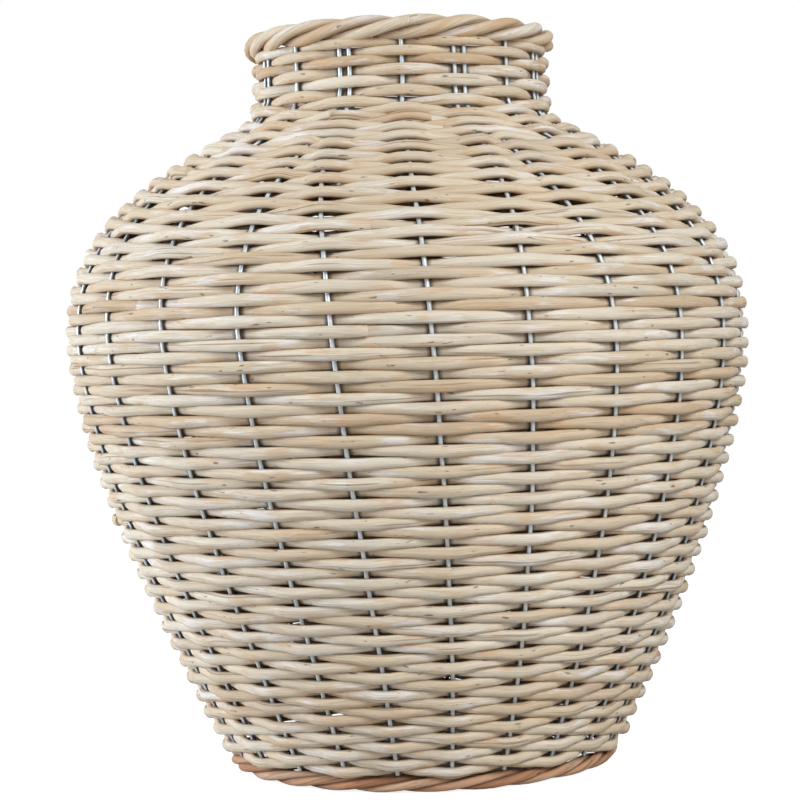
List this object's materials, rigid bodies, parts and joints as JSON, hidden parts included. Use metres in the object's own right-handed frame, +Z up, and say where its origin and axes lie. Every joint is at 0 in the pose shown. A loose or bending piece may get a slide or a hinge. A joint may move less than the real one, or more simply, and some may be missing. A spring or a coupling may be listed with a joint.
{
  "type": "wicker vase",
  "caption": "Wide-bellied wicker vase: pale willow rods randed round upright wires, a short neck, a rolled rim and a darker rolled foot, for dry stems.",
  "frame": {"origin": "centre of the foot, on the surface that the vase stands on", "axes": "+Z up along the vase's axis towards the mouth, -Y towards the front that the picture shows, +X to its right"},
  "size_m": [0.41, 0.41, 0.44],
  "materials": {
    "willow": "peeled willow rods with a worn white wash, matt, streaked cream to tan",
    "brown_willow": "brown willow rods, matt, orange-brown with dark ends",
    "wire": "galvanised wire, dull light grey"
  },
  "bodies": {
    "root": {"stake_01": "wire", "stake_02": "wire", "stake_03": "wire", "stake_04": "wire", "stake_05": "wire", "stake_06": "wire", "stake_07": "wire", "stake_08": "wire", "stake_09": "wire", "stake_10": "wire", "stake_11": "wire", "stake_12": "wire", "stake_13": "wire", "stake_14": "wire", "stake_15": "wire", "stake_16": "wire", "stake_17": "wire", "stake_18": "wire", "stake_19": "wire", "stake_20": "wire", "stake_21": "wire", "stake_22": "wire", "stake_23": "wire", "stake_24": "wire", "rim_ring": "wire", "foot_ring": "wire", "base_frame": "wire", "weaver_01a": "willow", "weaver_01b": "willow", "weaver_02a": "willow", "weaver_02b": "willow", "weaver_03a": "willow", "weaver_03b": "willow", "weaver_04a": "willow", "weaver_04b": "willow", "weaver_05a": "willow", "weaver_05b": "willow", "weaver_06a": "willow", "weaver_06b": "willow", "weaver_07a": "willow", "weaver_07b": "willow", "weaver_08a": "willow", "weaver_08b": "willow", "weaver_09a": "willow", "weaver_09b": "willow", "weaver_10a": "willow", "weaver_10b": "willow", "rim_strand_1": "willow", "rim_strand_2": "willow", "rim_strand_3": "willow", "base_weaver": "willow", "foot_strand_1": "brown_willow", "foot_strand_2": "brown_willow", "foot_strand_3": "brown_willow"}
  },
  "joints": []
}
